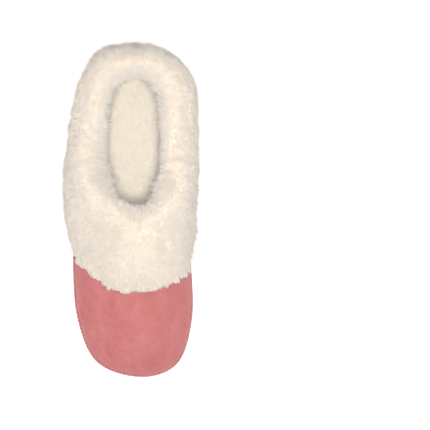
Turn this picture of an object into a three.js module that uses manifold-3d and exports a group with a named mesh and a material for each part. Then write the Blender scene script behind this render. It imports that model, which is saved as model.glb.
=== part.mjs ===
// A closed-heel house slipper for the right foot: a textile upper with a deep faux-fur collar, sewn to a
// fabric-wrapped foam platform on a rubber outsole. Millimetres, +Z up, toe towards -Y, inner side
// towards +X.
//
// The upper is one skin that runs between two closed loops, the platform's outline below and the topline
// above. Every layer of the upper is a stretch of that skin at its own depth, and every layer of the sole
// is a stack of rings drawn from the same outline, so that neighbours follow each other at a small gap.
import * as THREE from "three";
import Module from "manifold-3d";

// ---- Driving dimensions -------------------------------------------------------------------------------
const GAP = 0.3; // between touching pieces

// Stations round the slipper, from the heel centre along the outer side to the toe and back along the
// inner side. x is across the foot, s is the distance back from the toe tip, z the height.
//   foot: the platform's outline, x and s        top: where the same line of the upper meets the topline
//   hem:  how far up that line the collar's hem lies, from 0 to 1
//   pile: how far the collar stands out         roll: how far it rolls past the topline
const STATIONS = [
  { foot: [2.5, 264], top: [3, 254.5, 64], hem: 0.24, pile: 10, roll: 9 }, // heel centre
  { foot: [-21.5, 256.5], top: [-16.5, 249.5, 63], hem: 0.24, pile: 13, roll: 9 },
  { foot: [-34, 235], top: [-29.5, 233, 60], hem: 0.25, pile: 12.5, roll: 9 },
  { foot: [-38.5, 200], top: [-34, 203, 58], hem: 0.26, pile: 15, roll: 9 },
  { foot: [-42.5, 160], top: [-33.5, 171, 60], hem: 0.26, pile: 18, roll: 10 }, // outer waist
  { foot: [-46.8, 122], top: [-28.5, 150, 64], hem: 0.3, pile: 16, roll: 11 },
  { foot: [-47.8, 83], top: [-20.5, 136, 67], hem: 0.57, pile: 10, roll: 13 }, // outer ball
  { foot: [-43.8, 44.5], top: [-11.5, 127.5, 69], hem: 0.745, pile: 10, roll: 15 },
  { foot: [-28, 11.2], top: [-3.5, 122.5, 70], hem: 0.79, pile: 11.5, roll: 16 },
  { foot: [10, 0], top: [4.5, 121, 70], hem: 0.81, pile: 12, roll: 16 }, // toe tip
  { foot: [36.5, 10.5], top: [12.5, 122.5, 70], hem: 0.8, pile: 11.5, roll: 16 },
  { foot: [48.2, 44.5], top: [20.5, 127.5, 69], hem: 0.73, pile: 10, roll: 15 },
  { foot: [48.2, 83], top: [29, 136, 67], hem: 0.5, pile: 10, roll: 13 }, // inner ball
  { foot: [44, 122], top: [35.5, 151, 64], hem: 0.27, pile: 14, roll: 11 },
  { foot: [38.5, 160], top: [38.5, 171, 60], hem: 0.26, pile: 17, roll: 10 }, // inner waist
  { foot: [38, 200], top: [39, 203, 58], hem: 0.26, pile: 16.5, roll: 9 },
  { foot: [38, 235], top: [37, 233, 60], hem: 0.25, pile: 15.5, roll: 9 },
  { foot: [25.5, 256.5], top: [23, 249.5, 63], hem: 0.24, pile: 11.5, roll: 9 },
];
const COUNT = STATIONS.length;
const HEEL = 0; // station numbers, which may be fractions
const TOE = 9;
const SIDE_SEAMS = { outer: 5.2, inner: 12.8 }; // vamp to quarter, under the collar
const COLLAR_SEAMS = { outer: 4, inner: 14 };
const COLUMNS = 4; // mesh columns from one station to the next
const ROWS = 8; // mesh rows from the platform to the topline

// Heights of the sole's layers, bottom and top, at the waist where the sole lies flat.
const OUTSOLE = { z: [0, 4], inset: 0.8, groove: 1.6 };
const MIDSOLE = { z: [4.3, 12] };
const BOARD = { z: [12.3, 13.8] };
const FOOTBED_FOAM = { z: [14.1, 20.1] };
const FOOTBED_COVER = { z: [20.4, 23.4] };
const COVER_THICK = 1.3; // the fabric wrapped round the platform
const PLATFORM_FLARE = 1.2; // the platform is wider at its foot than at the feather line
const FEATHER_INSET = 2.2; // from the platform's outline in to the upper's bottom edge
const FEATHER_Z = BOARD.z[1] + GAP;
const TOE_SPRING = { height: 5, from: 55 }; // the toe curls up ahead of this distance

// Depths of the upper's layers below its outer face, from outside in.
const UPPER = [0, 1.3];
const INTERLINING = [1.6, 3.4];
const LINING = [3.7, 7.7];
const STIFFENER = [1.6, 2.8]; // toe puff and heel counter
const TAPE = [1.6, 2.5];
const COLLAR_CLEAR = 1.6; // room for the seam threads between the upper and the collar
const COLLAR_INSIDE = { depth: LINING[1] + 0.4, thick: 7, reach: 15 };
const THREAD_RADIUS = 0.35;
const FOOTBED_CLEAR = 0.6; // between the footbed and the lining beside it

// How the skin rises from the platform. A long line over the foot climbs as a power curve, which makes a
// full toe; a short line up the side is an arc of an ellipse, which makes a slightly bulging wall.
const SHORT_LINE = { plan: 12, power: 2, root: 2, share: 0.5 };
const LONG_LINE = { plan: 60, power: 1, root: 2.6, share: 1 };

const FABRIC = { color: 0xcd7170, roughness: 0.95, metalness: 0 };
const FUR = { color: 0xefe4d6, roughness: 1, metalness: 0 };
const PLUSH = { color: 0xf3e8d8, roughness: 1, metalness: 0 };
const THREAD = { color: 0xd98583, roughness: 0.8, metalness: 0 };
const FOAM = { color: 0xe8e4da, roughness: 0.95, metalness: 0 };
const RUBBER = { color: 0xb99a78, roughness: 0.85, metalness: 0 };
const FIBREBOARD = { color: 0xb49a76, roughness: 0.9, metalness: 0 };

// ---- The two loops and the skin between them ----------------------------------------------------------
const { lerp, smoothstep } = THREE.MathUtils;

function spring(s) {
  const ahead = Math.max(0, 1 - s / TOE_SPRING.from);
  return TOE_SPRING.height * ahead * ahead;
}

function closedCurve(points) {
  return new THREE.CatmullRomCurve3(points, true, "centripetal");
}

const outline = closedCurve(STATIONS.map(({ foot: [x, s] }) => new THREE.Vector3(x, s, 0)));
const topline = closedCurve(STATIONS.map(({ top: [x, s, z] }) => new THREE.Vector3(x, s, z)));
const collarSizes = closedCurve(STATIONS.map(({ hem, pile, roll }) => new THREE.Vector3(hem, pile, roll)));

// A point on a closed curve at a station number of any size.
function at(curve, station) {
  const turns = station / COUNT;
  return curve.getPoint(turns - Math.floor(turns));
}

// The platform's outline at a station, moved in by inset and lifted to height z.
function ringPoint(station, inset, z) {
  const step = 0.02;
  const along = at(outline, station + step).sub(at(outline, station - step)).normalize();
  const p = at(outline, station);
  const x = p.x - along.y * inset;
  const s = p.y + along.x * inset;
  return new THREE.Vector3(x, s, z + spring(s));
}

// The skin's outer face: v runs from 0 at the feather line to 1 at the topline, and a little past it.
function skinFace(station, v) {
  const from = ringPoint(station, FEATHER_INSET, FEATHER_Z);
  const to = at(topline, station);
  const plan = Math.hypot(to.x - from.x, to.y - from.y);
  const long = smoothstep(plan, SHORT_LINE.plan, LONG_LINE.plan);
  const power = lerp(SHORT_LINE.power, LONG_LINE.power, long);
  const root = lerp(SHORT_LINE.root, LONG_LINE.root, long);
  const share = lerp(SHORT_LINE.share, LONG_LINE.share, long);
  const climb = (x) => Math.pow(1 - Math.pow(1 - x, power), 1 / root);
  const f = Math.pow(Math.min(v, 1), root);
  const rise = climb(f * share) / climb(share);
  return new THREE.Vector3(lerp(from.x, to.x, f), lerp(from.y, to.y, f), lerp(from.z, to.z, rise));
}

// Directions on the skin: up along its line, and out of its face.
function skinFrame(station, v) {
  const step = 0.01;
  const low = Math.min(Math.max(v, step), 1 - step);
  const up = skinFace(station, low + step).sub(skinFace(station, low - step));
  const round = skinFace(station + step, low).sub(skinFace(station - step, low));
  const speed = up.length() / (2 * step);
  return { up: up.normalize(), out: round.normalize().cross(up).normalize(), speed };
}

// A point at a depth under the skin's outer face, and past mm further up its line.
function skinNode(station, v, depth, past) {
  const { up, out } = skinFrame(station, v);
  return skinFace(station, v).addScaledVector(out, -depth).addScaledVector(up, past);
}

// The same, on the flat cells between a fixed grid of lines, so that every layer is faceted alike.
function skin(station, v, depth, past = 0) {
  const column = Math.floor(station * COLUMNS + 1e-6);
  const row = Math.floor(v * ROWS + 1e-6);
  const node = (i, k) => skinNode((column + i) / COLUMNS, (row + k) / ROWS, depth, past);
  const across = station * COLUMNS - column;
  const bottom = node(0, 0).lerp(node(1, 0), across);
  const above = v * ROWS - row;
  return above < 1e-6 ? bottom : bottom.lerp(node(0, 1).lerp(node(1, 1), across), above);
}

// How far up its line a point lies that is so many mm short of the topline.
function below(station, distance) {
  return 1 - distance / skinFrame(station, 1).speed;
}

// ---- Solids -------------------------------------------------------------------------------------------
// The loops are drawn with s as the second coordinate, so a solid takes s for y when it is built.
function geometryOf(points, index) {
  const geometry = new THREE.BufferGeometry();
  geometry.setAttribute("position", new THREE.Float32BufferAttribute(points.flatMap((p) => p.toArray()), 3));
  geometry.setIndex(index);
  return geometry;
}

// Four corners, clockwise as seen from outside.
function quad(index, a, b, c, d) {
  index.push(a, d, c, a, c, b);
}

// The grid lines between two limits, and the limits themselves.
function gridLines(from, to, perUnit) {
  const lines = [from];
  const end = (to - 0.2 / perUnit) * perUnit;
  for (let i = Math.ceil(from * perUnit + 0.2); i < end; i++) lines.push(i / perUnit);
  return [...lines, to];
}

// A sheet of cloth as a solid: front and back are functions of (station, k) for k from 0 to rows.
function sheet(from, to, rows, front, back) {
  const stations = gridLines(from, to, COLUMNS);
  const points = [];
  for (const face of [front, back])
    for (const station of stations) for (let k = 0; k <= rows; k++) points.push(face(station, k));
  const half = points.length / 2;
  const id = (i, k) => i * (rows + 1) + k;
  const last = stations.length - 1;
  const index = [];
  for (let i = 0; i < last; i++) {
    for (let k = 0; k < rows; k++) {
      quad(index, id(i, k), id(i, k + 1), id(i + 1, k + 1), id(i + 1, k));
      quad(index, half + id(i, k), half + id(i + 1, k), half + id(i + 1, k + 1), half + id(i, k + 1));
    }
    quad(index, id(i, 0), id(i + 1, 0), half + id(i + 1, 0), half + id(i, 0));
    quad(index, id(i, rows), half + id(i, rows), half + id(i + 1, rows), id(i + 1, rows));
  }
  for (let k = 0; k < rows; k++) {
    quad(index, id(0, k), half + id(0, k), half + id(0, k + 1), id(0, k + 1));
    quad(index, id(last, k), id(last, k + 1), half + id(last, k + 1), half + id(last, k));
  }
  return geometryOf(points, index);
}

// Rings round the whole slipper, joined in order. Each is a function of the station. A closed set makes a
// band; an open one makes a slab, whose first and last rings are filled from side to side.
function rings(faces, closed) {
  const n = COUNT * COLUMNS;
  const points = faces.flatMap((face) => Array.from({ length: n }, (_, i) => face(i / COLUMNS)));
  const index = [];
  const joins = closed ? faces.length : faces.length - 1;
  for (let r = 0; r < joins; r++) {
    const a = r * n;
    const b = ((r + 1) % faces.length) * n;
    for (let i = 0; i < n; i++) {
      const j = (i + 1) % n;
      quad(index, a + i, b + i, b + j, a + j);
    }
  }
  const fill = (base, flip) => {
    for (let i = 0; i < n / 2; i++) {
      const [a, b] = [base + i, base + i + 1];
      const [c, d] = [base + ((n - i - 1) % n), base + ((n - i) % n)];
      if (flip) quad(index, a, d, c, b);
      else quad(index, a, b, c, d);
    }
  };
  if (!closed) {
    fill(0, false);
    fill((faces.length - 1) * n, true);
  }
  return geometryOf(points, index);
}

// A slab with broken edges, whose side is drawn by ring(extra inset, height).
function slab([low, high], edge, ring) {
  return rings([ring(edge, low), ring(0, low + edge), ring(0, high - edge), ring(edge, high)], false);
}

const outlineSide = (inset) => (extra, z) => (station) => ringPoint(station, inset + extra, z);

// The same at the foot of the lining: the point inside it at a height above the board.
const liningSide = (extra, z) => (station) => {
  const depth = LINING[1] + FOOTBED_CLEAR + extra;
  let [low, high] = [0, 0.7];
  for (let i = 0; i < 16; i++) {
    const middle = (low + high) / 2;
    const p = skin(station, middle, depth);
    if (p.z - spring(p.y) < z) low = middle;
    else high = middle;
  }
  return skin(station, low, depth);
};

// One layer of the upper between two stations, from one height fraction to another.
function layer([outer, inner], from, to, [low, high]) {
  const v = gridLines(low, high, ROWS);
  return sheet(from, to, v.length - 1, (u, k) => skin(u, v[k], outer), (u, k) => skin(u, v[k], inner));
}

function thread(path) {
  const section = new THREE.Shape().absarc(0, 0, THREAD_RADIUS, 0, 2 * Math.PI);
  const curve = new THREE.CatmullRomCurve3(path);
  return new THREE.ExtrudeGeometry(section, { steps: 12, curveSegments: 6, extrudePath: curve });
}

// ---- Sole ---------------------------------------------------------------------------------------------
const wasm = await Module();
wasm.setup();

function toManifold(geometry) {
  return new wasm.Manifold(
    new wasm.Mesh({
      numProp: 3,
      vertProperties: geometry.getAttribute("position").array,
      triVerts: new Uint32Array(geometry.index.array),
    }),
  );
}

function fromManifold(solid) {
  const { vertProperties, triVerts } = solid.getMesh();
  return new THREE.BufferGeometry()
    .setAttribute("position", new THREE.BufferAttribute(vertProperties, 3))
    .setIndex(new THREE.BufferAttribute(triVerts, 1));
}

// Straight grooves across the tread, inside a plain rim, at the ball and at the heel.
const TREAD = { rim: 8, width: 3.2, pitch: 11, runs: [[22, 112], [182, 248]] };

function widthAt(s) {
  const side = (from, to) => {
    const near = gridLines(from, to, COLUMNS).map((u) => ringPoint(u, OUTSOLE.inset, 0));
    return near.reduce((a, b) => (Math.abs(b.y - s) < Math.abs(a.y - s) ? b : a)).x;
  };
  return [side(HEEL, TOE), side(TOE, COUNT)];
}

function outsole() {
  let solid = toManifold(slab(OUTSOLE.z, 0.8, outlineSide(OUTSOLE.inset)));
  for (const [first, end] of TREAD.runs) {
    for (let s = first; s <= end; s += TREAD.pitch) {
      const [outer, inner] = widthAt(s);
      const length = inner - outer - 2 * TREAD.rim;
      const groove = new THREE.BoxGeometry(length, TREAD.width, 2 * OUTSOLE.groove);
      groove.translate((inner + outer) / 2, s, spring(s));
      solid = solid.subtract(toManifold(welded(groove)));
    }
  }
  return fromManifold(solid);
}

// A box with its corners shared, as a closed solid needs.
function welded(box) {
  const p = box.getAttribute("position");
  const seen = new Map();
  const points = [];
  const ids = Array.from({ length: p.count }, (_, i) => {
    const point = new THREE.Vector3().fromBufferAttribute(p, i);
    const key = point.toArray().join();
    if (!seen.has(key)) seen.set(key, points.push(point) - 1);
    return seen.get(key);
  });
  return geometryOf(points, Array.from(box.index.array, (i) => ids[i]));
}

// The platform's side at a height: flared at the foot, and in by depth.
function platformSide(depth, z) {
  const share = (FEATHER_Z - z) / (FEATHER_Z - MIDSOLE.z[0]);
  return (station) => ringPoint(station, depth + PLATFORM_FLARE * (1 - share), z);
}

function midsole() {
  const inside = COVER_THICK + GAP;
  return rings([platformSide(inside, MIDSOLE.z[0]), platformSide(inside, MIDSOLE.z[1])], false);
}

function platformCover() {
  const [low, high] = [MIDSOLE.z[0], BOARD.z[1]];
  const middle = (low + high) / 2;
  const tuck = 0.4; // drawn in at its foot
  const bulge = 0.5;
  const faces = [
    platformSide(tuck, low),
    platformSide(-bulge, middle),
    platformSide(0, high),
    platformSide(COVER_THICK, high),
    platformSide(COVER_THICK, low),
  ];
  return rings(faces, true);
}

function featherSeam() {
  const sides = 6;
  const centre = { inset: FEATHER_INSET - 1, z: FEATHER_Z + THREAD_RADIUS };
  const faces = Array.from({ length: sides }, (_, k) => {
    const angle = (2 * Math.PI * k) / sides;
    const inset = centre.inset - THREAD_RADIUS * Math.cos(angle);
    const z = centre.z + THREAD_RADIUS * Math.sin(angle);
    return (station) => ringPoint(station, inset, z);
  });
  return rings(faces, true);
}

// ---- Upper --------------------------------------------------------------------------------------------
const SEAM_SHARE = 0.008; // half the gap at a seam, in stations

function seamThread(station) {
  const clear = 0.25; // off the cloth
  const [low, high] = [0.06, 0.96];
  const steps = 6;
  const place = (_, k) => skin(station, lerp(low, high, k / steps), -THREAD_RADIUS - clear);
  return thread(Array.from({ length: steps + 1 }, place));
}

// ---- Collar -------------------------------------------------------------------------------------------
// The collar straddles the topline: out from its hem, up the upper, over the edge and down the lining. Its
// section is two matched paths, one against the upper and one along the tips of the fur.
function collar(from, to) {
  const sizes = (u) => {
    const { x: hem, y: pile, z: roll } = at(collarSizes, u);
    return { hem, pile, roll };
  };
  const inner = COLLAR_INSIDE.depth;
  const tips = inner + COLLAR_INSIDE.thick;
  const against = [
    (u, { hem }) => skin(u, hem, -COLLAR_CLEAR),
    (u, { hem }) => skin(u, lerp(hem, 1, 0.25), -COLLAR_CLEAR),
    (u, { hem }) => skin(u, lerp(hem, 1, 0.5), -COLLAR_CLEAR),
    (u, { hem }) => skin(u, lerp(hem, 1, 0.75), -COLLAR_CLEAR),
    (u) => skin(u, 1, -COLLAR_CLEAR),
    (u) => skin(u, 1, -COLLAR_CLEAR, 1),
    (u) => skin(u, 1, 3, 1),
    (u) => skin(u, 1, inner, 1),
    (u) => skin(u, below(u, 6), inner),
    (u) => skin(u, below(u, COLLAR_INSIDE.reach), inner),
  ];
  const along = [
    (u, { hem, pile }) => skin(u, hem - 0.01, -0.5 * pile),
    (u, { hem, pile }) => skin(u, lerp(hem, 1, 0.18), -0.9 * pile),
    (u, { hem, pile }) => skin(u, lerp(hem, 1, 0.46), -pile),
    (u, { hem, pile }) => skin(u, lerp(hem, 1, 0.74), -pile),
    (u, { pile }) => skin(u, 1, -0.92 * pile),
    (u, { pile, roll }) => skin(u, 1, -0.5 * pile, 0.72 * roll),
    (u, { roll }) => skin(u, 1, 3, roll),
    (u, { roll }) => skin(u, 1, 0.8 * tips, 0.72 * roll),
    (u) => skin(u, 1, tips, -1),
    (u) => skin(u, below(u, 0.85 * COLLAR_INSIDE.reach), tips - 1),
  ];
  const facesOf = (path) => (u, k) => path[k](u, sizes(u));
  return sheet(from, to, against.length - 1, facesOf(along), facesOf(against));
}

// ---- Assembly -----------------------------------------------------------------------------------------
const slipper = new THREE.Group();

function add(name, geometry, finish) {
  const mesh = new THREE.Mesh(geometry, new THREE.MeshStandardMaterial(finish));
  mesh.name = name;
  slipper.add(mesh);
}

// Stations either side of a seam, so that the two pieces leave a gap there.
const after = (station) => station + SEAM_SHARE;
const before = (station) => station - SEAM_SHARE;
const { outer: outerSeam, inner: innerSeam } = SIDE_SEAMS;

add("outsole", outsole(), RUBBER);
add("midsole", midsole(), FOAM);
add("platform_cover", platformCover(), FABRIC);
add("insole_board", slab(BOARD.z, 0.2, outlineSide(PLATFORM_FLARE + COVER_THICK + GAP)), FIBREBOARD);
add("footbed_foam", slab(FOOTBED_FOAM.z, 1, liningSide), FOAM);
add("footbed_cover", slab(FOOTBED_COVER.z, 1.2, liningSide), PLUSH);
add("feather_seam_thread", featherSeam(), THREAD);

add("vamp", layer(UPPER, after(outerSeam), before(innerSeam), [0.015, 1]), FABRIC);
add("quarter_outer", layer(UPPER, after(HEEL), before(outerSeam), [0.015, 1]), FABRIC);
add("quarter_inner", layer(UPPER, after(innerSeam), before(COUNT), [0.015, 1]), FABRIC);
add("side_seam_thread_outer", seamThread(outerSeam), THREAD);
add("side_seam_thread_inner", seamThread(innerSeam), THREAD);
add("back_seam_thread", seamThread(HEEL), THREAD);

add("toe_puff", layer(STIFFENER, 7.1, 10.9, [0.03, 0.6]), FIBREBOARD);
add("heel_counter", layer(STIFFENER, COUNT - 1.9, COUNT + 1.9, [0.04, 0.7]), FIBREBOARD);
add("vamp_interlining", layer(INTERLINING, 5.4, 12.6, [0.64, 0.98]), FOAM);
add("quarter_interlining_outer", layer(INTERLINING, 2.05, 5.1, [0.05, 0.9]), FOAM);
add("quarter_interlining_inner", layer(INTERLINING, 12.9, COUNT - 2.05, [0.05, 0.9]), FOAM);
add("topline_tape", layer(TAPE, 12.9, COUNT + 5.1, [0.93, 0.99]), THREAD);

add("vamp_lining", layer(LINING, after(outerSeam), before(innerSeam), [0.02, 0.99]), PLUSH);
add("quarter_lining_outer", layer(LINING, after(HEEL), before(outerSeam), [0.02, 0.99]), PLUSH);
add("quarter_lining_inner", layer(LINING, after(innerSeam), before(COUNT), [0.02, 0.99]), PLUSH);

const { outer: outerCollarSeam, inner: innerCollarSeam } = COLLAR_SEAMS;
add("collar_front", collar(after(outerCollarSeam), before(innerCollarSeam)), FUR);
add("collar_outer", collar(after(HEEL), before(outerCollarSeam)), FUR);
add("collar_inner", collar(after(innerCollarSeam), before(COUNT)), FUR);

// The origin is on the floor under the middle of the slipper.
const box = new THREE.Box3().setFromObject(slipper);
const middle = box.getCenter(new THREE.Vector3());
slipper.position.set(-middle.x, -middle.y, -box.min.z);

export default slipper;
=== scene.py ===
"""A fluffy house slipper with a faux-fur collar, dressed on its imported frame.

The frame gives the shape of every piece. Cloth, foam and rubber are smoothed copies of their solids, and
the fur and plush are thousands of small tapered fibres rooted on them.
"""

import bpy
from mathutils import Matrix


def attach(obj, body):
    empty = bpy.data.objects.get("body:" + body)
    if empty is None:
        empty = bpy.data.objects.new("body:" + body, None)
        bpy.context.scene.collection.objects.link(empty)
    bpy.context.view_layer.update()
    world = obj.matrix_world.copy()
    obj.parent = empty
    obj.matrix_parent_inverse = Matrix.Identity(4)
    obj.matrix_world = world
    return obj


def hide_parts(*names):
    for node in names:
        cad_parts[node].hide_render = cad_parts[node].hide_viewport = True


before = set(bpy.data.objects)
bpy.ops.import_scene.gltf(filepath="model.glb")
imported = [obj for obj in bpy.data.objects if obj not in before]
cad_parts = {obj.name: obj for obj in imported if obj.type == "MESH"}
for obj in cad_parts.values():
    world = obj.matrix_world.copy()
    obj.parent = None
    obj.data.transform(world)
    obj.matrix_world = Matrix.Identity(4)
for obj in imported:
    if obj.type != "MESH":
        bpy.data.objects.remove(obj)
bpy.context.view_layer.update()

import math

import bmesh
import bpy
import numpy as np
from bpy.props import FloatProperty, FloatVectorProperty, IntProperty, PointerProperty
from mathutils import Matrix, Vector, noise
from mathutils.bvhtree import BVHTree
from mathutils.kdtree import KDTree

bl_info = {
    "name": "Fluffy House Slipper",
    "version": (1, 0, 0),
    "blender": (4, 5, 0),
    "location": "View3D > Sidebar > Slipper",
    "description": "Dresses a house slipper's frame in suede cloth, plush and faux fur",
    "category": "Add Mesh",
}

MM = 0.001
MAP = "OFBake"
CREASE = "crease_edge"

UPPERS = ("vamp", "quarter_outer", "quarter_inner")
LININGS = ("vamp_lining", "quarter_lining_outer", "quarter_lining_inner")
COLLARS = ("collar_front", "collar_outer", "collar_inner")
SEAMS = ("feather_seam_thread", "side_seam_thread_outer", "side_seam_thread_inner", "back_seam_thread")

# The line down the middle of the mouth, and the middle of the opening between the walls' pile.
MOUTH_FRONT = np.array([0.004, 0.010, 0.0])
MOUTH_BACK = np.array([0.003, 0.095, 0.0])
OPENING_MIDDLE = (0.003, 0.0525, 0.0)

# How many fibres the underwool and the plush have for each lock in the settings.
DENSE = 2.5


# ---- Settings ---------------------------------------------------------------------------------------


def length(name, description, default):
    return FloatProperty(
        name=name, description=description, default=default, min=0.0, unit="LENGTH", precision=5
    )


def colour(name, description, default):
    return FloatVectorProperty(
        name=name,
        description=description,
        default=default,
        subtype="COLOR",
        size=3,
        min=0.0,
        max=1.0,
    )


def count(name, description, default):
    return IntProperty(name=name, description=description, default=default, min=0)


class SlipperSizes(bpy.types.PropertyGroup):
    pile_length: length("Pile length", "How deep the collar's fur stands on its backing", 0.0055)
    pile_overshoot: length("Overshoot", "How far the longest fibres pass the fur's surface", 0.0024)
    pile_width: length("Fibre width", "Width of a lock of fur at its root", 0.0008)
    hem_locks: length("Hem locks", "How much longer the longest locks at the hem are", 0.0036)
    tuft_size: length("Tuft size", "Distance between the tufts that the fur falls into", 0.0042)
    plush_length: length("Plush length", "Length of the short pile on the footbed", 0.0022)
    opening_width: length("Opening width", "Width of the footbed between the walls' pile", 0.0475)
    opening_length: length("Opening length", "Length of the footbed between the walls' pile", 0.109)
    rim_pile: length("Rim pile", "How much longer the footbed's pile is round its rim", 0.004)
    lining_length: length("Lining length", "Length of the linings' pile over the footbed", 0.015)
    mouth_pile: length("Mouth pile", "How much longer the fur is round the mouth", 0.006)
    front_fibres: count("Front fibres", "Locks in each coat of the front collar", 19500)
    side_fibres: count("Side fibres", "Locks in each coat of a side collar", 19500)
    footbed_fibres: count("Footbed fibres", "Locks of plush on the footbed", 19500)
    lining_fibres: count("Lining fibres", "Locks of plush on each lining", 11000)
    stitch_pitch: length("Stitch pitch", "Distance from one stitch to the next", 0.0032)
    stitch_width: length("Stitch width", "Thickness of the sewing thread", 0.0007)
    seed: count("Seed", "Start of the random numbers", 7)


class SlipperColours(bpy.types.PropertyGroup):
    suede: colour("Suede", "The upper where the nap lies light", (0.585, 0.215, 0.21))
    suede_dark: colour("Suede, dark", "The upper where the nap lies dark", (0.485, 0.148, 0.144))
    # The platform's share darkens and deepens the upper's suede: painted shade standing in for the shade on
    # the platform's side wall.
    platform: colour("Platform", "The platform cover's share of the suede's colour", (0.9, 0.7, 0.77))
    fur_tip: colour("Fur tips", "The ends of the collar's fur", (0.9, 0.83, 0.745))
    fur_root: colour("Fur roots", "The collar's fur at its backing", (0.91, 0.79, 0.66))
    fur_shade: colour("Fur shade", "The locks of fur that are deepest in tone", (0.91, 0.815, 0.705))
    plush: colour("Plush", "Footbed and linings", (0.99, 0.945, 0.865))
    plush_root: colour("Plush roots", "The backing of the plush", (0.88, 0.74, 0.55))
    # The thread is paler than the suede: partly the thread's own tone, and along the feather seam partly a
    # painted highlight on the seam's edge.
    thread: colour("Thread", "The seams of the upper", (0.84, 0.47, 0.45))
    rubber: colour("Rubber", "The outsole", (0.42, 0.27, 0.155))
    foam: colour("Foam", "Midsole and paddings", (0.80, 0.77, 0.70))
    board: colour("Board", "Insole board, toe puff and heel counter", (0.46, 0.32, 0.18))


class StageSettings(bpy.types.PropertyGroup):
    camera_distance: length("Camera distance", "Height of the camera over the slipper", 5.76)
    lens: FloatProperty(name="Lens", description="The camera's focal length in mm", default=600.0)
    key: FloatProperty(
        name="Softbox", description="Power of the softbox overhead", default=18.0, unit="POWER"
    )
    fill: FloatProperty(name="Fill", description="Strength of the light all round", default=0.42)
    floor: colour("Floor", "The floor", (0.93, 0.93, 0.93))


# ---- Materials --------------------------------------------------------------------------------------


class Term:
    """A node's output that Python's operators work on."""

    def __init__(self, finish, socket):
        self.finish, self.socket = finish, socket

    def _math(self, operation, a, b):
        return self.finish.node("ShaderNodeMath", {"operation": operation}, {0: a, 1: b})

    def __add__(self, other):
        return self._math("ADD", self, other)

    __radd__ = __add__

    def __mul__(self, other):
        return self._math("MULTIPLY", self, other)

    __rmul__ = __mul__


class Finish:
    """A material and the nodes that are added to it."""

    def __init__(self, name):
        self.material = bpy.data.materials.new(name)
        self.material.use_nodes = True
        self.tree = self.material.node_tree
        self.shader = self.tree.nodes["Principled BSDF"]

    def set(self, socket, value):
        """Links a term to a socket, or gives the socket a value."""
        if isinstance(value, Term):
            self.tree.links.new(value.socket, socket)
        elif socket.type == "RGBA":
            socket.default_value = (*value, 1.0)
        else:
            socket.default_value = value

    def node(self, kind, settings=None, inputs=None, output=0):
        """Adds a node, sets it up, feeds its inputs and returns one of its outputs."""
        node = self.tree.nodes.new(kind)
        for name, value in (settings or {}).items():
            setattr(node, name, value)
        for key, value in (inputs or {}).items():
            self.set(node.inputs[key], value)
        return Term(self, node.outputs[output])

    def surface(self, **inputs):
        """Feeds the shader's inputs, named in lower case, and returns the material."""
        for name, value in inputs.items():
            label = name.replace("_", " ").title().replace("Ior", "IOR")
            self.set(self.shader.inputs[label], value)
        return self.material

    def place(self, stretch=(1, 1, 1)):
        """Object coordinates, stretched along the axes."""
        at = self.node("ShaderNodeTexCoord", output="Object")
        return self.node("ShaderNodeMapping", {}, {"Vector": at, "Scale": stretch})

    def noise(self, scale, detail=2.0, roughness=0.5, at=None):
        """Fractal noise, from 0 to 1, with that many features to the metre."""
        sizes = {"Vector": at or self.place(), "Scale": scale, "Detail": detail, "Roughness": roughness}
        return self.node("ShaderNodeTexNoise", {}, sizes, "Fac")

    def spread(self, value, low, high):
        """Value stretched so that low gives 0 and high gives 1."""
        limits = {"Value": value, "From Min": low, "From Max": high}
        return self.node("ShaderNodeMapRange", {"clamp": True}, limits)

    def mix(self, share, a, b):
        """Colour a where share is 0 and b where it is 1."""
        return self.node("ShaderNodeMix", {"data_type": "RGBA"}, {0: share, 6: a, 7: b}, 2)

    def attribute(self, name):
        """A value that the fibres carry."""
        return self.node("ShaderNodeAttribute", {"attribute_name": name}, output="Fac")

    def bump(self, height, distance, strength=1.0):
        """A normal that is raised by height, which runs from 0 to 1, over a distance."""
        sizes = {"Height": height, "Distance": distance, "Strength": strength}
        return self.node("ShaderNodeBump", {}, sizes, "Normal")


def suede(name, light, dark):
    """Brushed microsuede: broad patches where the nap was stroked, and a fine grain."""
    finish = Finish(name)
    strokes = finish.noise(55, 4, 0.62, finish.place((1.0, 0.55, 1.0)))
    patches = finish.noise(150, 3, 0.6)
    grain = finish.noise(1100, 3, 0.65)
    fibres = finish.noise(3600, 2, 0.6)
    nap = finish.spread(0.45 * strokes + 0.3 * patches + 0.25 * grain, 0.36, 0.64)
    return finish.surface(
        base_color=finish.mix(nap, dark, light),
        roughness=0.86 + 0.1 * grain,
        normal=finish.bump(0.6 * grain + 0.4 * fibres, 0.3 * MM, 0.55),
        sheen_weight=0.1,
        sheen_roughness=0.45,
        sheen_tint=(1.0, 0.6, 0.58),
        specular_ior_level=0.15,
    )


def pile(name, root, tip, shade):
    """Fibres that change from root to tip, with some locks deeper in tone than others."""
    finish = Finish(name)
    along = finish.spread(finish.attribute("along"), 0.0, 0.75)
    lock = finish.spread(finish.attribute("tint"), 0.45, 1.0)
    return finish.surface(
        base_color=finish.mix(along, root, finish.mix(lock, tip, shade)),
        roughness=0.9,
        sheen_weight=0.25,
        sheen_roughness=0.5,
        sheen_tint=(1.0, 0.95, 0.88),
        specular_ior_level=0.12,
    )


def backing(name, light, dark):
    """The matted ground that a pile grows from."""
    finish = Finish(name)
    tufts = finish.noise(420, 3, 0.6)
    hairs = finish.noise(1900, 2, 0.6)
    return finish.surface(
        base_color=finish.mix(finish.spread(tufts, 0.3, 0.7), dark, light),
        roughness=0.95,
        normal=finish.bump(0.6 * tufts + 0.4 * hairs, 0.8 * MM),
        sheen_weight=0.3,
        specular_ior_level=0.1,
    )


def toned(tone, share):
    """A colour made darker or paler."""
    return tuple(min(1.0, share * c) for c in tone)


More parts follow.
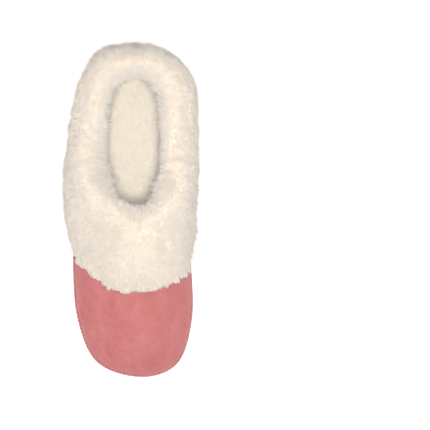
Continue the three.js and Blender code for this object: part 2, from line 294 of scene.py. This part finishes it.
def foam(name, tone):
    """Open-cell foam, with its pores."""
    finish = Finish(name)
    cells = finish.node(
        "ShaderNodeTexVoronoi", {}, {"Vector": finish.place(), "Scale": 1100.0}, "Distance"
    )
    cloud = finish.noise(60, 3)
    darker = toned(tone, 0.8)
    return finish.surface(
        base_color=finish.mix(finish.spread(cells * 0.7 + cloud * 0.5, 0.25, 0.7), darker, tone),
        roughness=0.9 + 0.05 * cloud,
        normal=finish.bump(cells, 0.3 * MM, 0.7),
        specular_ior_level=0.2,
    )


def fibreboard(name, tone):
    """Pressed board with flecks of fibre along the foot."""
    finish = Finish(name)
    flecks = finish.noise(700, 4, 0.7, finish.place((1.0, 0.3, 1.0)))
    darker = toned(tone, 0.62)
    return finish.surface(
        base_color=finish.mix(finish.spread(flecks, 0.35, 0.65), darker, tone),
        roughness=0.75 + 0.2 * flecks,
        normal=finish.bump(flecks, 0.15 * MM, 0.6),
        specular_ior_level=0.3,
    )


def moulded_rubber(name, tone):
    """Matt rubber with a fine moulded grain and a little scuffing."""
    finish = Finish(name)
    grain = finish.noise(2200, 2, 0.55)
    scuffs = finish.noise(90, 5, 0.7)
    darker = toned(tone, 0.78)
    return finish.surface(
        base_color=finish.mix(finish.spread(scuffs, 0.35, 0.68), darker, tone),
        roughness=0.58 + 0.25 * scuffs,
        normal=finish.bump(grain, 0.12 * MM, 0.6),
        specular_ior_level=0.4,
    )


def sewing_thread(name, tone):
    """Twisted thread: pale and dark plies across its length."""
    finish = Finish(name)
    plies = finish.noise(1500, 2, 0.6, finish.place((1.0, 1.0, 2.2)))
    darker = toned(tone, 0.72)
    return finish.surface(
        base_color=finish.mix(finish.spread(plies, 0.35, 0.65), darker, tone),
        roughness=0.55 + 0.2 * plies,
        normal=finish.bump(plies, 0.1 * MM, 0.5),
        sheen_weight=0.2,
    )


def dress(piece, material):
    """Gives a piece its material."""
    piece.data.materials.clear()
    piece.data.materials.append(material)


# ---- Meshes -----------------------------------------------------------------------------------------


def new_piece(name, mesh):
    """An object that rides on the slipper's one body."""
    piece = bpy.data.objects.new(name, mesh)
    bpy.context.collection.objects.link(piece)
    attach(piece, "root")
    return piece


def node_mesh(node):
    """A bmesh of a node's solid, welded, with its flat quads put back together."""
    bm = bmesh.new()
    bm.from_mesh(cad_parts[node].data)
    weld, bend = 1e-6, math.radians(50)
    bmesh.ops.remove_doubles(bm, verts=bm.verts, dist=weld)
    bmesh.ops.join_triangles(bm, faces=bm.faces, angle_face_threshold=bend, angle_shape_threshold=bend)
    return bm


def crease(bm, angle, value):
    """Holds the solid's corners while its faces are smoothed."""
    layer = bm.edges.layers.float.new(CREASE)
    for edge in bm.edges:
        if edge.is_manifold and edge.calc_face_angle() > math.radians(angle):
            edge[layer] = value


def mesh_from(bm, name):
    """Makes a bmesh a smooth-shaded mesh, and frees it."""
    mesh = bpy.data.meshes.new(name)
    bm.to_mesh(mesh)
    bm.free()
    mesh.shade_smooth()
    return mesh


def settled(piece):
    """Applies a piece's modifiers."""
    dg = bpy.context.evaluated_depsgraph_get()
    mesh = bpy.data.meshes.new_from_object(piece.evaluated_get(dg))
    piece.modifiers.clear()
    piece.data = mesh
    return piece


def smoothed_copy(node, levels=2, hold=0.75, corner=55, beside=None):
    """A node's solid made smooth.

    Corners sharper than an angle are held a little, and wholly where they meet what is beside."""
    bm = node_mesh(node)
    name = f"{node}_finished"
    crease(bm, corner, hold)
    if beside:
        layer = bm.edges.layers.float[CREASE]
        touching = 0.8 * MM
        ends = {v for v in bm.verts if beside.find_nearest(v.co)[3] < touching}
        for edge in bm.edges:
            if edge[layer] > 0 and ends.issuperset(edge.verts):
                edge[layer] = 1.0
    piece = new_piece(name, mesh_from(bm, name))
    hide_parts(node)
    smooth = piece.modifiers.new("Smooth", "SUBSURF")
    smooth.levels = smooth.render_levels = levels
    return settled(piece)


def points_of(mesh):
    places = np.empty(len(mesh.vertices) * 3)
    mesh.vertices.foreach_get("co", places)
    return places.reshape(-1, 3)


def normals_of(mesh):
    normals = np.empty(len(mesh.vertices) * 3)
    mesh.vertex_normals.foreach_get("vector", normals)
    return normals.reshape(-1, 3)


def move_points(mesh, places):
    mesh.vertices.foreach_set("co", places.ravel())
    mesh.update()


def surface_tree(*nodes):
    """A search tree over the solids of some nodes."""
    points, faces = [], []
    for node in nodes:
        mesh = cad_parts[node].data
        faces += [[len(points) + i for i in face.vertices] for face in mesh.polygons]
        points += [v.co.copy() for v in mesh.vertices]
    return BVHTree.FromPolygons(points, faces)


def distances(tree, places):
    """How far places lie from the solids of a search tree."""
    return np.array([tree.find_nearest(Vector(p))[3] for p in places])


def directions(tree, places):
    """Unit vectors from the nearest points of a search tree's solids to some places."""
    return unit(places - np.array([tree.find_nearest(Vector(p))[0] for p in places]))


def wobble(places, scale, seed):
    """Smooth noise from -1 to 1 with that many features to the metre."""
    shift = Vector((seed * 3.1, seed * 1.7, seed * 0.9))
    return np.array([noise.noise(Vector(p) * scale + shift) for p in places])


def unit(vectors):
    return vectors / np.maximum(np.linalg.norm(vectors, axis=1, keepdims=True), 1e-12)


def smooth_step(value, low, high):
    """0 below low, 1 above high, and an S-curve between them."""
    t = np.clip((value - low) / (high - low), 0, 1)
    return t * t * (3 - 2 * t)


# ---- Fur --------------------------------------------------------------------------------------------


def fibre_shape(bent):
    """A fibre as a three-sided spike one unit high: its corners and its triangles."""
    bm = bmesh.new()
    bmesh.ops.create_cone(bm, cap_ends=True, segments=3, radius1=1.0, radius2=0.0, depth=1.0)
    bmesh.ops.translate(bm, verts=bm.verts, vec=(0, 0, 0.5))
    if bent:
        whole = [*bm.verts, *bm.edges, *bm.faces]
        bmesh.ops.bisect_plane(bm, geom=whole, plane_co=(0, 0, 0.5), plane_no=(0, 0, 1))
        waist = [v for v in bm.verts if 0.4 < v.co.z < 0.6]
        fuller = 1.6
        bmesh.ops.scale(bm, verts=waist, vec=(fuller, fuller, 1.0))
    bmesh.ops.triangulate(bm, faces=bm.faces)
    corners = np.array([v.co for v in bm.verts])
    triangles = np.array([[v.index for v in f.verts] for f in bm.faces])
    bm.free()
    return corners, triangles


def scatter(rng, mesh, weight, number):
    """Random spots on a mesh, thicker where its vertices' weight is greater.

    Returns three vertices and their three shares for each spot."""
    mesh.calc_loop_triangles()
    triangles = np.empty(len(mesh.loop_triangles) * 3, int)
    mesh.loop_triangles.foreach_get("vertices", triangles)
    triangles = triangles.reshape(-1, 3)
    a, b, c = points_of(mesh)[triangles].transpose(1, 0, 2)
    area = np.linalg.norm(np.cross(b - a, c - a), axis=1) * weight[triangles].mean(1)
    chosen = triangles[rng.choice(len(triangles), number, p=area / area.sum())]
    u, v = rng.random((2, number))
    flip = u + v > 1
    u, v = np.where(flip, 1 - u, u), np.where(flip, 1 - v, v)
    return chosen, np.stack([1 - u - v, u, v], 1)


def at_spots(spots, values):
    """A mesh's values, blended from its vertices to some spots."""
    corners, shares = spots
    if values.ndim == 1:
        return (values[corners] * shares).sum(1)
    return (values[corners] * shares[:, :, None]).sum(1)


def gather(rng, tips, roots, spacing, strength):
    """Draws tips together into tufts that far apart. Returns the tips and the number of each tip's tuft."""
    share = 1.0 / max(1.0, density_of(roots) * spacing**2)
    number = max(8, int(len(roots) * share))
    centres = rng.choice(len(roots), number, replace=False)
    tree = KDTree(number)
    for i, c in enumerate(centres):
        tree.insert(Vector(roots[c]), i)
    tree.balance()
    tuft = np.array([tree.find(Vector(p))[1] for p in roots])
    loose = 0.25
    aim = tips[centres[tuft]] + loose * (roots - roots[centres[tuft]])
    return tips + strength[:, None] * (aim - tips), tuft


def density_of(roots):
    """Roots to the square metre, from how many a sample of them have close by."""
    near, samples = 3 * MM, 200
    tree = KDTree(len(roots))
    for i, p in enumerate(roots):
        tree.insert(Vector(p), i)
    tree.balance()
    sample = roots[:: max(1, len(roots) // samples)]
    return np.mean([len(tree.find_range(Vector(p), near)) for p in sample]) / (math.pi * near**2)


def fibres(name, path, normals, widths, tint):
    """A mesh of one fibre for each root. path holds the roots, the middles if they bend, and the tips.

    About half of a fibre's shading is that of the surface it stands on, as in a dense pile. The map lays
    each fibre root down, with the locks side by side."""
    corners, triangles = fibre_shape(len(path) == 3)
    number, size = path.shape[1], len(corners)
    up = unit(path[-1] - path[0])
    side = unit(np.cross(up, np.stack([up[:, 1], up[:, 2], -up[:, 0]], 1)))
    across = np.cross(up, side)
    height = corners[:, 2]
    stem = path[np.rint(height * (len(path) - 1)).astype(int)].transpose(1, 0, 2)
    ring = corners[None, :, :1] * side[:, None] + corners[None, :, 1:2] * across[:, None]
    places = stem + 0.5 * widths[:, None, None] * ring
    faces = triangles[None] + size * np.arange(number)[:, None, None]
    mesh = bpy.data.meshes.new(name)
    mesh.from_pydata(places.reshape(-1, 3), [], faces.reshape(-1, 3))
    mesh.shade_smooth()
    for key, values in (("along", np.tile(height, number)), ("tint", np.repeat(tint, size))):
        layer = mesh.attributes.new(key, "FLOAT", "POINT")
        layer.data.foreach_set("value", values.astype(np.float32))
    across_map = 0.03 + 0.94 * np.repeat(tint, size) + np.tile(0.02 * corners[:, 0], number)
    up_map = 0.02 + 0.96 * np.tile(height, number)
    flat = np.stack([across_map, up_map], 1)
    layer = mesh.uv_layers.new(name=MAP)
    layer.uv.foreach_set("vector", flat[faces.ravel()].astype(np.float32).ravel())
    soft = 0.65 * normals[:, None] + 0.45 * ring
    mesh.normals_split_custom_set_from_vertices(unit(soft.reshape(-1, 3)))
    return mesh


def away_from_mouth(places):
    """Level unit vectors out from the line down the middle of the mouth."""
    line = MOUTH_BACK - MOUTH_FRONT
    share = np.clip((places[:, 1] - MOUTH_FRONT[1]) / line[1], 0, 1)[:, None]
    return unit((places - MOUTH_FRONT - share * line) * (1, 1, 0))


def gap_to_opening(places, sizes):
    """How far each place lies outside the opening that is left between the walls' pile.

    The opening is an ellipse towards the toe and squarer towards the heel."""
    reach = (places - OPENING_MIDDLE)[:, :2]
    half = (sizes.opening_width / 2, sizes.opening_length / 2)
    power = np.where(reach[:, 1] < 0, 2.0, 3.0)
    share = np.sum(np.abs(reach / half) ** power[:, None], axis=1)
    return np.maximum(0, 1 - np.maximum(share, 1e-6) ** (-1 / power)) * np.linalg.norm(reach, axis=1)


def combed(normals, away):
    """Which way the fur was stroked: away from the mouth and down."""
    down = np.array([0, 0, -0.55])
    facing = (normals * away).sum(1, keepdims=True)
    stroke = away * facing + down
    return stroke - normals * (stroke * normals).sum(1, keepdims=True)


def coat(name, rng, mesh, spread, settings):
    """One coat of fibres on a surface.

    spread holds what changes over the surface: weight (how thick the fibres stand), depth (how far
    below it their roots are), reach (how far they pass it), lean, stroke (which way they lie), tufted,
    and where the surface's normals don't serve, facing and shading. settings hold the fibres' number,
    whether they are bent, their width, lean and curl, how far they gather, and how far apart their
    tufts are."""
    places, normals = points_of(mesh), spread.get("facing", normals_of(mesh))
    spots = scatter(rng, mesh, spread["weight"], int(settings["number"]))
    surface, normal = at_spots(spots, places), unit(at_spots(spots, normals))
    depth, stroke = at_spots(spots, spread["depth"]), at_spots(spots, spread["stroke"])
    reach = at_spots(spots, spread["reach"])
    roots = surface - normal * depth[:, None]
    lively = rng.normal(0, settings["curl"], (len(roots), 3))
    lean = settings["lean"] * at_spots(spots, spread["lean"])
    heading = normal + stroke * lean[:, None] + lively
    length = (depth + reach) * rng.uniform(0.72, 1.0, len(roots))
    tips = roots + heading * length[:, None]
    pull = settings["gather"] * at_spots(spots, spread["tufted"]) * rng.uniform(0.55, 1.0, len(roots))
    tips, tuft = gather(rng, tips, roots, settings["tuft"], np.minimum(pull, 0.95))
    path = [roots, tips]
    if settings["bent"]:
        bow = 0.12 * length[:, None] * (normal - 0.4 * stroke)
        path.insert(1, roots + 0.5 * (tips - roots) + bow)
    widths = settings["width"] * rng.uniform(0.7, 1.15, len(roots))
    shades = rng.random(tuft.max() + 1)
    tint = np.clip(0.5 * shades[tuft] + 0.5 * rng.random(len(roots)), 0, 1)
    shading = at_spots(spots, spread.get("shading", normals))
    return new_piece(name, fibres(name, np.stack(path), unit(shading), widths, tint))


# ---- Operators --------------------------------------------------------------------------------------


class SLIPPER_OT_sole(bpy.types.Operator):
    """Outsole, foam midsole, insole board and the cloth round the platform"""

    bl_idname = "slipper.sole"
    bl_label = "Sole"
    bl_options = {"REGISTER", "UNDO"}

    def execute(self, context):
        tones = context.scene.slipper_colours
        tread = smoothed_sole("outsole")
        dress(tread, moulded_rubber("outsole_rubber", tones.rubber))
        cover = smoothed_copy("platform_cover")
        # The platform's suede is a darker, deeper copy of the upper's: painted shade for the platform's
        # side wall.
        light, dark = (np.multiply(tone, tones.platform) for tone in (tones.suede, tones.suede_dark))
        dress(cover, suede("platform_suede_painted_shade", light, dark))
        dress(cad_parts["midsole"], foam("midsole_foam", tones.foam))
        dress(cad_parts["insole_board"], fibreboard("insole_board", tones.board))
        return {"FINISHED"}


def smoothed_sole(node):
    """The moulded outsole with its edges rounded."""
    name = f"{node}_finished"
    piece = new_piece(name, mesh_from(node_mesh(node), name))
    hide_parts(node)
    rounded = piece.modifiers.new("Rounded edges", "BEVEL")
    rounded.width, rounded.segments, rounded.limit_method = 0.35 * MM, 2, "ANGLE"
    rounded.angle_limit = math.radians(35)
    settled(piece)
    piece.data.set_sharp_from_angle(angle=math.radians(50))
    even = piece.modifiers.new("Even shading", "WEIGHTED_NORMAL")
    even.keep_sharp = True
    return settled(piece)


class SLIPPER_OT_upper(bpy.types.Operator):
    """Vamp and quarters, in brushed suede cloth"""

    bl_idname = "slipper.upper"
    bl_label = "Upper"
    bl_options = {"REGISTER", "UNDO"}

    def execute(self, context):
        tones = context.scene.slipper_colours
        material = suede("upper_suede", tones.suede, tones.suede_dark)
        body = surface_tree(*LININGS)
        platform = surface_tree("platform_cover")
        for name in UPPERS:
            piece = smoothed_copy(name, levels=3 if name == "vamp" else 2)
            places, normals = points_of(piece.data), normals_of(piece.data)
            outside = smooth_step(distances(body, places), 2.8 * MM, 3.4 * MM)
            foot = 1 - smooth_step(distances(platform, places), 2 * MM, 15 * MM)
            soft = 0.5 * wobble(places, 28, 1) + 0.25 * wobble(places, 70, 2)
            pucker = foot * (0.5 + 0.5 * wobble(places * (1, 1, 0.2), 190, 3))
            lift = outside * (0.35 * (1 + soft) + 0.45 * pucker) * MM
            move_points(piece.data, places + normals * lift[:, None])
            dress(piece, material)
        return {"FINISHED"}


class SLIPPER_OT_seams(bpy.types.Operator):
    """The rows of stitches in the upper's seams"""

    bl_idname = "slipper.seams"
    bl_label = "Seams"
    bl_options = {"REGISTER", "UNDO"}

    def execute(self, context):
        sizes, tones = context.scene.slipper_sizes, context.scene.slipper_colours
        # Along the feather seam the paler thread also paints a highlight on the seam's edge, besides the
        # thread's own tone.
        material = sewing_thread("seam_thread", tones.thread)
        for node in SEAMS:
            row = stitches(f"{node}_stitches", centreline(node), sizes)
            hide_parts(node)
            dress(row, material)
        return {"FINISHED"}


def centreline(node):
    """The middle of a thread's solid, as points in order along it. A ring ends where it starts."""
    bm = node_mesh(node)
    ring_of, rings = {}, []
    for start in bm.verts:
        if start in ring_of:
            continue
        ring, found = [], [start]
        while found:
            vert = found.pop()
            if vert not in ring_of:
                ring_of[vert] = len(rings)
                ring.append(vert.co.copy())
                found += [e.other_vert(vert) for e in vert.link_edges if e.calc_length() < MM]
        rings.append(sum(ring, Vector()) / len(ring))
    beside = {i: set() for i in range(len(rings))}
    for edge in bm.edges:
        a, b = (ring_of[v] for v in edge.verts)
        if a != b:
            beside[a].add(b)
            beside[b].add(a)
    bm.free()
    order = [min(beside, key=lambda i: len(beside[i]))]
    while onward := beside[order[-1]].difference(order):
        order.append(min(onward))
    if order[0] in beside[order[-1]] and len(order) > 2:
        order.append(order[0])
    return np.array([rings[i] for i in order])


def stitches(name, path, sizes):
    """A row of separate stitches along a path, each a short round lozenge of thread."""
    far = np.concatenate([[0], np.cumsum(np.linalg.norm(np.diff(path, axis=0), axis=1))])
    number = round(far[-1] / sizes.stitch_pitch)
    half = sizes.stitch_width / 2
    bm = bmesh.new()
    for i in range(number):
        start, middle, end = (
            Vector([np.interp((i + share) / number * far[-1], far, axis) for axis in path.T])
            for share in (0.1, 0.5, 0.9)
        )
        turn = (end - start).to_track_quat("Z", "Y")
        size = Vector((half, half, (end - start).length / 2))
        bmesh.ops.create_uvsphere(
            bm, u_segments=8, v_segments=6, radius=1.0, matrix=Matrix.LocRotScale(middle, turn, size)
        )
    return new_piece(name, mesh_from(bm, name))


class SLIPPER_OT_paddings(bpy.types.Operator):
    """The foams, boards and tape between the upper and its linings"""

    bl_idname = "slipper.paddings"
    bl_label = "Paddings"
    bl_options = {"REGISTER", "UNDO"}

    def execute(self, context):
        tones = context.scene.slipper_colours
        soft = foam("interlining_foam", tones.foam)
        stiff = fibreboard("stiffener_board", tones.board)
        for name in ("vamp_interlining", "quarter_interlining_outer", "quarter_interlining_inner"):
            dress(smoothed_copy(name, levels=1), soft)
        for name in ("toe_puff", "heel_counter"):
            dress(smoothed_copy(name, levels=1), stiff)
        tape = smoothed_copy("topline_tape", levels=1)
        dress(tape, sewing_thread("tape_weave", tones.foam))
        return {"FINISHED"}


class SLIPPER_OT_footbed(bpy.types.Operator):
    """The padded footbed under its plush"""

    bl_idname = "slipper.footbed"
    bl_label = "Footbed"
    bl_options = {"REGISTER", "UNDO"}

    def execute(self, context):
        sizes, tones = context.scene.slipper_sizes, context.scene.slipper_colours
        cushion = smoothed_copy("footbed_foam", levels=1)
        dress(cushion, foam("footbed_foam", tones.foam))
        cover = smoothed_copy("footbed_cover", levels=3, hold=0.2)
        dress(cover, backing("footbed_backing", tones.plush, tones.plush_root))
        rng = np.random.default_rng(sizes.seed)
        mesh = cover.data
        places, normals = points_of(mesh), normals_of(mesh)
        level = np.ones(len(normals))
        rim = 1 - smooth_step(distances(surface_tree(*LININGS), places), 4 * MM, 11 * MM)
        rim *= smooth_step(places[:, 1], -30 * MM, 10 * MM)
        towards_toe = [0.25, -1.0, 0.0]
        spread = {
            "weight": smooth_step(normals[:, 2], 0.1, 0.5),
            "depth": 0.3 * MM * level,
            "reach": sizes.plush_length + rim * sizes.rim_pile,
            "lean": level,
            "tufted": level,
            "stroke": unit(np.tile(towards_toe, (len(normals), 1))),
        }
        settings = {
            "number": DENSE * sizes.footbed_fibres,
            "bent": False,
            "width": 0.7 * sizes.pile_width,
            "lean": 0.9,
            "curl": 0.35,
            "gather": 0.25,
            "tuft": 2.2 * MM,
        }
        plush = coat("footbed_plush", rng, mesh, spread, settings)
        dress(plush, pile("footbed_pile", tones.plush_root, tones.plush, tones.fur_tip))
        return {"FINISHED"}


class SLIPPER_OT_linings(bpy.types.Operator):
    """The plush linings of vamp and quarters"""

    bl_idname = "slipper.linings"
    bl_label = "Linings"
    bl_options = {"REGISTER", "UNDO"}

    def execute(self, context):
        sizes, tones = context.scene.slipper_sizes, context.scene.slipper_colours
        ground = backing("lining_backing", tones.plush, tones.plush_root)
        fur = pile("lining_pile", tones.plush_root, tones.plush, tones.fur_shade)
        outer = surface_tree(*UPPERS)
        for i, name in enumerate(LININGS):
            lining = smoothed_copy(name)
            dress(lining, ground)
            rng = np.random.default_rng(sizes.seed + 20 + i)
            mesh = lining.data
            places, normals = points_of(mesh), normals_of(mesh)
            inside = smooth_step(distances(outer, places), 5.2 * MM, 6.2 * MM)
            level = np.ones(len(inside))
            up = np.tile([0.0, 0.0, 1.0], (len(inside), 1))
            over_footbed = smooth_step(places[:, 2], 22 * MM, 25 * MM)
            low = 1 - 0.4 * smooth_step(places[:, 2], 28 * MM, 48 * MM)
            deep = low * gap_to_opening(places, sizes)
            spread = {
                "weight": inside * over_footbed,
                "depth": 0.5 * MM * level,
                "shading": unit(0.4 * normals + up),
                "reach": np.clip(deep, sizes.plush_length, sizes.lining_length),
                "lean": level,
                "tufted": level,
                "stroke": up,
            }
            settings = {
                "number": DENSE * sizes.lining_fibres,
                "bent": False,
                "width": 1.2 * sizes.pile_width,
                "lean": 0.35,
                "curl": 0.4,
                "gather": 0.3,
                "tuft": 3.0 * MM,
            }
            dress(coat(f"{name}_plush", rng, mesh, spread, settings), fur)
        return {"FINISHED"}


class SLIPPER_OT_collars(bpy.types.Operator):
    """The three panels of faux fur round the mouth"""

    bl_idname = "slipper.collars"
    bl_label = "Fur collar"
    bl_options = {"REGISTER", "UNDO"}

    def execute(self, context):
        sizes, tones = context.scene.slipper_sizes, context.scene.slipper_colours
        ground = backing("collar_backing", tones.fur_shade, tones.fur_root)
        fur = pile("collar_fur", tones.fur_root, tones.fur_tip, tones.fur_shade)
        for i, name in enumerate(COLLARS):
            rng = np.random.default_rng(sizes.seed + 40 + i)
            others = surface_tree(*(panel for panel in COLLARS if panel != name))
            panel = smoothed_copy(name, hold=0.3, corner=50, beside=others)
            mesh = panel.data
            spread = self.lie_of_the_fur(mesh, others, sizes)
            longer = dict(spread, reach=spread["reach"] + 0.5 * sizes.pile_overshoot)
            number = sizes.front_fibres if name == "collar_front" else sizes.side_fibres
            under = {
                "number": DENSE * number,
                "bent": False,
                "width": 1.1 * sizes.pile_width,
                "lean": 0.5,
                "curl": 0.3,
                "gather": 0.3,
                "tuft": sizes.tuft_size,
            }
            over = {
                "number": number,
                "bent": True,
                "width": 0.75 * sizes.pile_width,
                "lean": 0.75,
                "curl": 0.25,
                "gather": 0.55,
                "tuft": sizes.tuft_size,
            }
            dress(coat(f"{name}_underwool", rng, mesh, spread, under), fur)
            dress(coat(f"{name}_hair", rng, mesh, longer, over), fur)
            move_points(mesh, points_of(mesh) - spread["off"] * spread["depth"][:, None])
            dress(panel, ground)
        return {"FINISHED"}

    def lie_of_the_fur(self, mesh, others, sizes):
        """Where the fur grows on a panel, how deep, and which way it lies."""
        places, normals = points_of(mesh), normals_of(mesh)
        body = surface_tree(*UPPERS, *LININGS)
        off_body, apart = distances(body, places), distances(others, places)
        towards, off = directions(others, places), directions(body, places)
        away = away_from_mouth(places)
        # At a seam between two panels the fur turns off the end face and closes over the gap.
        seam = 1 - smooth_step(apart, 0.5 * MM, 6 * MM)
        ahead = -(normals * towards).sum(1)
        end_face = smooth_step(ahead, 0.85, 0.98) * (seam > 0.9)
        outward = unit(normals + (seam * smooth_step(ahead, 0.8, 0.97))[:, None] * (off - normals))
        across = (outward * towards).sum(1)
        facing = unit(outward - (seam * across)[:, None] * towards)
        # Locks hang over the hem, lumps roughen the surface, and the walls' pile narrows the mouth.
        hem = 1 - smooth_step(distances(surface_tree(*UPPERS), places), 4 * MM, 7.5 * MM)
        locks = np.clip(wobble(places, 260, 4) + 0.35, 0, 1)
        lumps = 0.55 * wobble(places, 130, 5) + 0.45 * wobble(places, 50, 8)
        inside = smooth_step(-(normals * away).sum(1), 0.1, 0.8)
        reach = sizes.pile_overshoot * (lumps * (1 - 0.7 * seam) - 0.4 - 0.35 * seam + 0.3 * inside)
        reach += hem * locks * sizes.hem_locks
        reach += inside * np.clip(gap_to_opening(places, sizes), 0, sizes.mouth_pile)
        lift = np.maximum(inside, 0.55 + 0.3 * hem)
        under_fur = 2.2 * MM
        return {
            "weight": smooth_step(off_body, under_fur, 3.2 * MM) * (1 - end_face) * (1 + 1.5 * seam),
            "depth": np.clip(off_body - under_fur, 0.2 * MM, sizes.pile_length),
            "reach": reach,
            "lean": 1 + 0.5 * wobble(places, 60, 6),
            "stroke": combed(normals, away) * (1 - seam)[:, None] - 0.5 * seam[:, None] * towards,
            "facing": facing,
            "shading": unit(facing * (1 - 0.5 * inside)[:, None] + lift[:, None] * (0, 0, 1)),
            "off": off,
            "tufted": (1 - seam) * (1 + hem) * (1 - 0.7 * inside),
        }


class SLIPPER_OT_stage(bpy.types.Operator):
    """Floor, softbox and camera"""

    bl_idname = "slipper.stage"
    bl_label = "Stage"
    bl_options = {"REGISTER", "UNDO"}

    def execute(self, context):
        stage = context.scene.slipper_stage
        self.make_floor(context, stage)
        self.make_lights(context, stage)
        self.make_camera(context, stage)
        context.scene.view_settings.view_transform = "Standard"
        return {"FINISHED"}

    def make_floor(self, context, stage):
        below = -0.3 * MM
        bm = bmesh.new()
        bmesh.ops.create_grid(bm, x_segments=2, y_segments=2, size=4.0)
        bmesh.ops.translate(bm, verts=bm.verts, vec=(0, 0, below))
        floor = bpy.data.objects.new("floor", mesh_from(bm, "floor"))
        context.collection.objects.link(floor)
        finish = Finish("floor_paper")
        grain = finish.noise(300, 2)
        paler = toned(stage.floor, 1.03)
        finish.surface(
            base_color=finish.mix(grain, stage.floor, paler),
            roughness=0.95,
            emission_color=(1.0, 1.0, 1.0),
            emission_strength=0.5,
        )
        floor.data.materials.append(finish.material)

    def make_lights(self, context, stage):
        world = bpy.data.worlds.new("studio")
        world.use_nodes = True
        sky = world.node_tree.nodes["Background"]
        sky.inputs["Color"].default_value = (1.0, 1.0, 1.0, 1.0)
        sky.inputs["Strength"].default_value = stage.fill
        context.scene.world = world
        slipper = Vector((0, 0, 0.03))
        for name, place, size, power in (
            ("softbox", (0.05, -0.08, 1.5), 0.5, stage.key),
            ("side_softbox", (-1.1, -0.5, 1.0), 0.8, 0.08 * stage.key),
        ):
            lamp = bpy.data.lights.new(name, "AREA")
            lamp.size, lamp.energy = size, power
            light = bpy.data.objects.new(name, lamp)
            light.location = place
            aim = slipper - Vector(place)
            light.rotation_euler = aim.to_track_quat("-Z", "Y").to_euler()
            light.visible_camera = False
            context.collection.objects.link(light)

    def make_camera(self, context, stage):
        lens = bpy.data.cameras.new("camera")
        lens.lens = stage.lens
        camera = bpy.data.objects.new("camera", lens)
        aside, ahead, height = 0.0675, -0.004, 0.02
        camera.location = (aside, ahead, height + stage.camera_distance)
        context.collection.objects.link(camera)
        context.scene.camera = camera


# ---- Panel and registration -------------------------------------------------------------------------

BUILD_ORDER = (
    SLIPPER_OT_sole,
    SLIPPER_OT_paddings,
    SLIPPER_OT_linings,
    SLIPPER_OT_footbed,
    SLIPPER_OT_upper,
    SLIPPER_OT_seams,
    SLIPPER_OT_collars,
    SLIPPER_OT_stage,
)


class SLIPPER_PT_panel(bpy.types.Panel):
    """Lists the slipper's operators"""

    bl_label = "Fluffy House Slipper"
    bl_idname = "SLIPPER_PT_panel"
    bl_space_type = "VIEW_3D"
    bl_region_type = "UI"
    bl_category = "Slipper"

    def draw(self, context):
        for operator in BUILD_ORDER:
            self.layout.operator(operator.bl_idname)
        for name, group in GROUPS.items():
            for setting in group.__annotations__:
                self.layout.prop(getattr(context.scene, name), setting)


GROUPS = {
    "slipper_sizes": SlipperSizes,
    "slipper_colours": SlipperColours,
    "slipper_stage": StageSettings,
}


def register():
    for cls in (*GROUPS.values(), *BUILD_ORDER, SLIPPER_PT_panel):
        bpy.utils.register_class(cls)
    for name, group in GROUPS.items():
        setattr(bpy.types.Scene, name, PointerProperty(type=group))


def unregister():
    for name in GROUPS:
        delattr(bpy.types.Scene, name)
    for cls in (SLIPPER_PT_panel, *reversed(BUILD_ORDER), *GROUPS.values()):
        bpy.utils.unregister_class(cls)


def main():
    register()
    for operator in BUILD_ORDER:
        section, name = operator.bl_idname.split(".")
        getattr(getattr(bpy.ops, section), name)()


if __name__ == "__main__":
    main()
